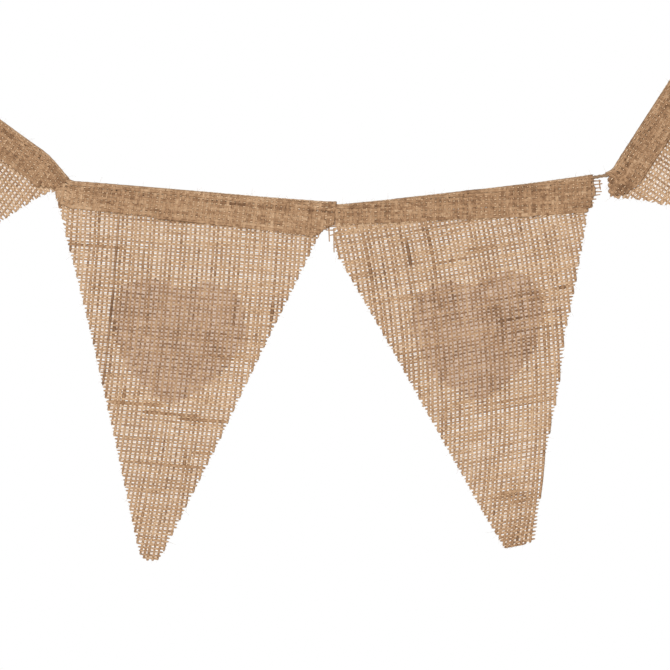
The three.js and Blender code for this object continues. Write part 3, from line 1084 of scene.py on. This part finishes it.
class BUNTING_OT_stage(bpy.types.Operator):
    """Make the camera, the even white surroundings, the soft lights and the pale floor"""

    bl_idname = "bunting.stage"
    bl_label = "Make Stage"

    def execute(self, context):
        stage = context.scene.bunting_stage
        self.add_camera(context, stage)
        self.add_surroundings(context, stage)
        for name, power, place in LIGHTS:
            self.add_light(name, getattr(stage, power), Vector(place))
        self.add_floor(stage, CAD_BOX[0].z - stage.floor_drop)
        return {"FINISHED"}

    def add_camera(self, context, stage):
        camera = bpy.data.objects.new("camera", bpy.data.cameras.new("camera"))
        context.scene.collection.objects.link(camera)
        camera.location = VIEW_MIDDLE - Vector((0, stage.camera_distance, 0))
        camera.rotation_euler = (math.pi / 2, 0, 0)
        camera.data.lens = camera.data.sensor_width * stage.camera_distance / VIEW_WIDTH
        context.scene.camera = camera

    def add_surroundings(self, context, stage):
        """An even white all round, at full white where the camera sees it."""
        context.scene.view_settings.view_transform = "Standard"
        world = bpy.data.worlds.new("white_surroundings")
        world.use_nodes = True
        tree = world.node_tree
        tree.nodes.clear()
        white = srgb("#ffffff")
        path = add_node(tree, "ShaderNodeLightPath")
        light = add_node(tree, "ShaderNodeBackground", {"Color": (*white, 1), "Strength": stage.sky})
        seen = add_node(tree, "ShaderNodeBackground", {"Color": (*white, 1), "Strength": 1.0})
        mixed = add_node(
            tree,
            "ShaderNodeMixShader",
            {0: path.outputs["Is Camera Ray"], 1: light.outputs[0], 2: seen.outputs[0]},
        )
        add_node(tree, "ShaderNodeOutputWorld", {"Surface": mixed.outputs[0]})
        context.scene.world = world

    def add_light(self, name, power, place):
        light = bpy.data.objects.new(name, bpy.data.lights.new(name, "AREA"))
        bpy.context.scene.collection.objects.link(light)
        light.data.energy = power
        light.data.size = LIGHT_SIZE
        light.location = place
        light.rotation_euler = (VIEW_MIDDLE - place).to_track_quat("-Z", "Y").to_euler()
        light.visible_camera = False

    def add_floor(self, stage, height):
        bpy.ops.object.select_all(action="DESELECT")
        bpy.ops.mesh.primitive_cylinder_add(
            vertices=FLOOR_SIDES,
            radius=stage.floor_radius,
            depth=FLOOR_THICKNESS,
            location=(0, 0, height - FLOOR_THICKNESS / 2),
        )
        floor = bpy.context.object
        floor.name = "floor"
        bevel = floor.modifiers.new("rounded rim", "BEVEL")
        bevel.width = FLOOR_RIM
        bevel.segments = 3
        bpy.ops.object.modifier_apply(modifier=bevel.name)
        bpy.ops.object.shade_smooth_by_angle()
        floor.data.materials.append(floor_material("Matt floor paint", stage.floor_colour))
        floor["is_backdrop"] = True


class BUNTING_OT_twine(bpy.types.Operator):
    """Twist the twine along its route, with a stopper knot at each end"""

    bl_idname = "bunting.twine"
    bl_label = "Twist Twine"

    def execute(self, context):
        twine = context.scene.bunting_twine
        rng = np.random.default_rng(TWINE_SEED)
        colours = [twine.darkest, twine.plain, twine.plain, twine.lightest]
        material = jute_material("Jute twine", colours, srgb("#ffffff"))
        strands = Strands(PLY_SIDES)
        line = twine_line(TWINE_STEP)
        self.twist(strands, twine, rng, line, ACROSS)
        for end in (line, line[::-1]):
            knot, outward = self.knot(twine, end)
            self.twist(strands, twine, rng, knot, outward)
        piece = strands.made("jute_twine", material)
        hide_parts("twine")
        distances(line)[-1]
        return {"FINISHED"}

    def twist(self, strands, twine, rng, line, outward):
        """Twists the plies round a line. Their middles lie on a circle on which they just touch."""
        tangent = unit(np.gradient(line, axis=0))
        across = unit(np.cross(outward, tangent))
        depth = np.cross(tangent, across)
        along = distances(line)
        touching = 1 + 1 / math.sin(math.pi / twine.plies)
        ply_radius = twine.diameter / 2 / touching
        circle = twine.diameter / 2 - ply_radius
        for ply in range(twine.plies):
            turn = 2 * math.pi * (along / twine.lay + ply / twine.plies)
            off = np.cos(turn)[:, None] * across + np.sin(turn)[:, None] * depth
            swell = 1 + PLY_SWELL * smooth_noise(rng, len(line), SMOOTH_SAMPLES)
            tone = PLY_TONE + PLY_SHADE * smooth_noise(rng, len(line), SMOOTH_SAMPLES)
            radius = PLY_FULLNESS * ply_radius * swell
            uv_start = rng.uniform(0, PATTERN_LENGTH)
            strands.add(line + circle * off, off, radius, radius, tone, uv_start=uv_start)

    def knot(self, twine, end):
        """The middle of the turns of a stopper knot near an end, and the directions out of them."""
        share = np.linspace(0, 1, KNOT_POINTS)
        angle = 2 * math.pi * KNOT_TURNS * share
        full = smoothstep(share, 0, KNOT_TUCK) * (1 - smoothstep(share, 1 - KNOT_TUCK, 1))
        radius = twine.diameter * lerp(*KNOT_RADII, full)
        axis = unit(end[KNOT_LEAD] - end[0])
        up = np.cross(axis, ACROSS)
        outward = np.cos(angle)[:, None] * ACROSS + np.sin(angle)[:, None] * up
        along = twine.diameter * (KNOT_PITCH * KNOT_TURNS * (share - 0.5) + KNOT_MIDDLE)
        return end[0] + along[:, None] * axis + radius[:, None] * outward, outward


class BUNTING_OT_pennants(bpy.types.Operator):
    """Weave the four pennants, cut them and hang them on the twine"""

    bl_idname = "bunting.pennants"
    bl_label = "Weave Pennants"

    def execute(self, context):
        cloth = context.scene.bunting_cloth
        colours = [cloth.darkest, cloth.dark, cloth.plain, cloth.light, cloth.lightest]
        paint = context.scene.bunting_heart.colour
        material = jute_material("Jute hessian yarn", colours, paint)
        for weave in weaves(context.scene):
            name = weave.row["name"]
            strands = Strands(YARN_SIDES)
            for thread in weave.threads():
                self.lay(strands, thread, weave, cloth)
            for loose in weave.row["loose"]:
                self.hang(strands, weave, cloth, *loose)
            piece = strands.made("woven_" + name, material)
            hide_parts(name)
            size = np.ptp(weave.hanging.outline, axis=0)
            weave.hanging.flat_area()
        return {"FINISHED"}

    def lay(self, strands, thread, weave, cloth):
        """Lays one cut thread on the hanging cloth, over and under those that it crosses."""
        hanging = weave.hanging
        x, way = thread.places.T
        pressed, turned_down = hanging.in_hem(way)
        crimp = cloth.crimp * thread.crimp * (1 - HEM_FLATTENING * pressed)
        normal = hanging.normal(thread.places)
        line = hanging.point(thread.places) + crimp[:, None] * normal
        width = cloth.warp_width if thread.is_warp else cloth.weft_width
        ends = np.ones(len(line))
        ends[[0, -1]] = CUT_END_SHARE
        facing = smoothstep(np.sin(strands.angles), *PRINTED_SIDE)
        along = np.clip(x / hanging.hem[1], 0, 1)
        # Painted shade: a dark line along the crease under the twine, where a shadow line falls
        from_crease = np.abs(way + lerp(*CREASE_DROPS, along))
        crease_shade = lerp(*weave.row["crease_shade"], along) * (1 - smoothstep(from_crease, 0, CREASE_REACH))
        own_tone = WARP_TONE if thread.is_warp else WEFT_TONE
        # Painted shade where a thread dips under its neighbours, between the crossings
        dipping = (1 - np.minimum(np.abs(thread.crimp), 1)) * (1 - pressed)
        tone = thread.tone + crease_shade + DIP_SHADE * dipping
        # Painted shade: printed threads darker, as the print stops the light that comes through the
        # cloth
        tone += (PRINT_SHADE_TONE - own_tone) * thread.printed
        tone += (weave.row["hem_tone"] - own_tone) * turned_down
        strands.add(
            line,
            normal,
            width / 2 * thread.swell * (1 + HEM_SWELL * pressed) * ends,
            cloth.yarn_depth / 2 * np.sqrt(thread.swell) * ends,
            tone,
            thread.printed[:, None] * facing,
            thread.uv_start,
        )

    def hang(self, strands, weave, cloth, layer, x, drop, length, lean, curl):
        """A thread that has come out of the weave and hangs down from its layer."""
        way = -MM * drop if layer == "near" else weave.hanging.fold_way + MM * drop
        start = weave.hanging.point(np.array([[MM * x, way]]))[0]
        share = np.linspace(0, 1, LOOSE_POINTS)
        angle = np.radians(lean + curl * share ** 2)
        headings = np.stack([np.sin(angle), 0 * angle, -np.cos(angle)], 1)
        line = start + np.cumsum(headings * MM * length / LOOSE_POINTS, axis=0)
        half_width = cloth.weft_width / 2 * lerp(*LOOSE_SHARES, share)
        strands.add(line, -ACROSS, half_width, LOOSE_FLATNESS * half_width, LOOSE_TONE)


class BUNTING_OT_hearts(bpy.types.Operator):
    """Fill the gaps of the weave with paint inside each heart"""

    bl_idname = "bunting.hearts"
    bl_label = "Print Hearts"

    def execute(self, context):
        heart = context.scene.bunting_heart
        material = paint_material("Chalky screen print", heart.colour)
        for weave in weaves(context.scene):
            self.film("heart_" + weave.row["name"], weave, heart, material)
        return {"FINISHED"}

    def film(self, name, weave, heart, material):
        """A thin film of paint across the gaps, with its corners hidden in the threads."""
        nodes = weave.crossings
        middles = (nodes[:-1, :-1] + nodes[1:, :-1] + nodes[:-1, 1:] + nodes[1:, 1:]) / 4
        rows, columns = np.nonzero(weave.filled & weave.hanging.contains(middles))
        index = np.arange(nodes.shape[0] * nodes.shape[1]).reshape(nodes.shape[:2])
        around = [(0, 0), (1, 0), (1, 1), (0, 1)]
        corners = np.stack([index[rows + down, columns + right] for down, right in around], 1)
        used, corners = np.unique(corners, return_inverse=True)
        corners = corners.reshape(-1, 4)
        places = np.concatenate([nodes.reshape(-1, 2)[used], middles[rows, columns]])
        bulge = np.concatenate([np.zeros(len(used)), weave.rng.uniform(*FILM_BULGE, len(rows))])
        points = weave.hanging.point(places) + bulge[:, None] * weave.hanging.normal(places)
        centre = len(used) + np.arange(len(rows))
        faces = np.concatenate([
            np.stack([corners[:, side], corners[:, (side + 1) % 4], centre], 1) for side in range(4)
        ])
        mesh = bpy.data.meshes.new(name)
        mesh.from_pydata(points.tolist(), [], faces.tolist())
        mesh.shade_smooth()
        piece = linked(name, mesh, material)
        bpy.ops.object.select_all(action="DESELECT")
        bpy.context.view_layer.objects.active = piece
        solidify = piece.modifiers.new("film", "SOLIDIFY")
        solidify.thickness = heart.film
        solidify.offset = 0
        bpy.ops.object.modifier_apply(modifier=solidify.name)


class BUNTING_OT_fuzz(bpy.types.Operator):
    """Raise stray fibres on the threads and at cut ends, and lay bundles of them across the gaps"""

    bl_idname = "bunting.fuzz"
    bl_label = "Raise Fuzz"

    def execute(self, context):
        cloth = context.scene.bunting_cloth
        fuzz = context.scene.bunting_fuzz
        colours = [cloth.dark, cloth.plain, cloth.lightest, fuzz.lit_through]
        material = jute_material("Stray jute fibres", colours, cloth.lightest)
        for weave in weaves(context.scene):
            rng = np.random.default_rng(weave.seed)
            strands = Strands(FIBRE_SIDES)
            for thread in weave.threads():
                self.raise_fibres(strands, rng, thread, weave.hanging, fuzz)
                if thread.is_warp:
                    self.bridge_gaps(strands, rng, thread, weave.hanging, cloth, fuzz)
            piece = strands.made("fuzz_" + weave.row["name"], material)
        return {"FINISHED"}

    def raise_fibres(self, strands, rng, thread, hanging, fuzz):
        """Fibres along one thread, at random places, and those that spread from its two cut ends."""
        line = hanging.point(thread.places)
        tangent = unit(np.gradient(line, axis=0))
        for _ in range(rng.poisson(distances(line)[-1] / fuzz.spacing)):
            at = rng.integers(len(line))
            heading = tangent[at] * rng.choice([-1, 1]) + FIBRE_SPREAD * rng.standard_normal(3)
            self.fibre(strands, rng, line[at], heading, rng.uniform(*FIBRE_SHARES), fuzz)
        for end, straight in ((line[0], -tangent[0]), (line[-1], tangent[-1])):
            for _ in range(fuzz.end_fibres):
                heading = straight + END_FIBRE_SPREAD * rng.standard_normal(3)
                self.fibre(strands, rng, end, heading, rng.uniform(*END_FIBRE_SHARES), fuzz)

    def fibre(self, strands, rng, root, heading, length_share, fuzz):
        """One fibre from its root, curled to one side and thinner at its tip."""
        share = np.linspace(0, 1, FIBRE_POINTS)
        heading = unit(heading)
        curl = FIBRE_CURL * np.cross(heading, unit(rng.standard_normal(3)))
        reach = share[:, None] * heading + share[:, None] ** 2 * curl
        radius = fuzz.diameter / 2 * (1 - FIBRE_TAPER * share)
        line = root + length_share * fuzz.length * reach
        strands.add(line, curl, radius, radius, rng.uniform(*FIBRE_TONES))

    def bridge_gaps(self, strands, rng, thread, hanging, cloth, fuzz):
        """A flat bundle of fibres across each open gap between a warp thread and the next, in the
        lit-through colour, a painted glow of light from behind.
        """
        places = thread.places[thread.beside_gap]
        pitches = np.array([cloth.warp_pitch, cloth.weft_pitch])
        starts = places + pitches * rng.uniform(*BUNDLE_STARTS, places.shape)
        ends = places + pitches * rng.uniform(*BUNDLE_ENDS, places.shape)
        bundles = np.stack([starts, ends], 1)[hanging.contains(ends)]
        half_width = fuzz.bridge / 2
        for line in hanging.point(bundles):
            tone = rng.uniform(*BUNDLE_TONES)
            strands.add(line, ACROSS, half_width, BUNDLE_FLATNESS * half_width, tone)


class BUNTING_PT_panel(bpy.types.Panel):
    """The bunting's sizes and colours, and the steps that make it"""

    bl_label = "Bunting"
    bl_idname = "BUNTING_PT_panel"
    bl_space_type = "VIEW_3D"
    bl_region_type = "UI"
    bl_category = "Bunting"

    def draw(self, context):
        for name, _, operator in STEPS:
            settings = getattr(context.scene, name)
            box = self.layout.box()
            for key in settings.__annotations__:
                box.prop(settings, key)
            box.operator(operator.bl_idname)


# Each step's settings in the scene, their group and its operator, in the order that they run
STEPS = [
    ("bunting_stage", BuntingStage, BUNTING_OT_stage),
    ("bunting_twine", BuntingTwine, BUNTING_OT_twine),
    ("bunting_heart", BuntingHeart, BUNTING_OT_hearts),
    ("bunting_fuzz", BuntingFuzz, BUNTING_OT_fuzz),
    ("bunting_cloth", BuntingCloth, BUNTING_OT_pennants),
]


def register():
    for name, group, operator in STEPS:
        bpy.utils.register_class(group)
        setattr(bpy.types.Scene, name, bpy.props.PointerProperty(type=group))
        bpy.utils.register_class(operator)
    bpy.utils.register_class(BUNTING_PT_panel)


def unregister():
    bpy.utils.unregister_class(BUNTING_PT_panel)
    for name, group, operator in reversed(STEPS):
        bpy.utils.unregister_class(operator)
        delattr(bpy.types.Scene, name)
        bpy.utils.unregister_class(group)


def main():
    register()
    bpy.ops.bunting.stage()
    bpy.ops.bunting.twine()
    bpy.ops.bunting.hearts()
    bpy.ops.bunting.fuzz()
    bpy.ops.bunting.pennants()
    boxes = {"cad": CAD_BOX, "visual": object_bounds()}
    sizes = {name: [list(corner) for corner in box] for name, box in boxes.items()}


if __name__ == "__main__":
    main()
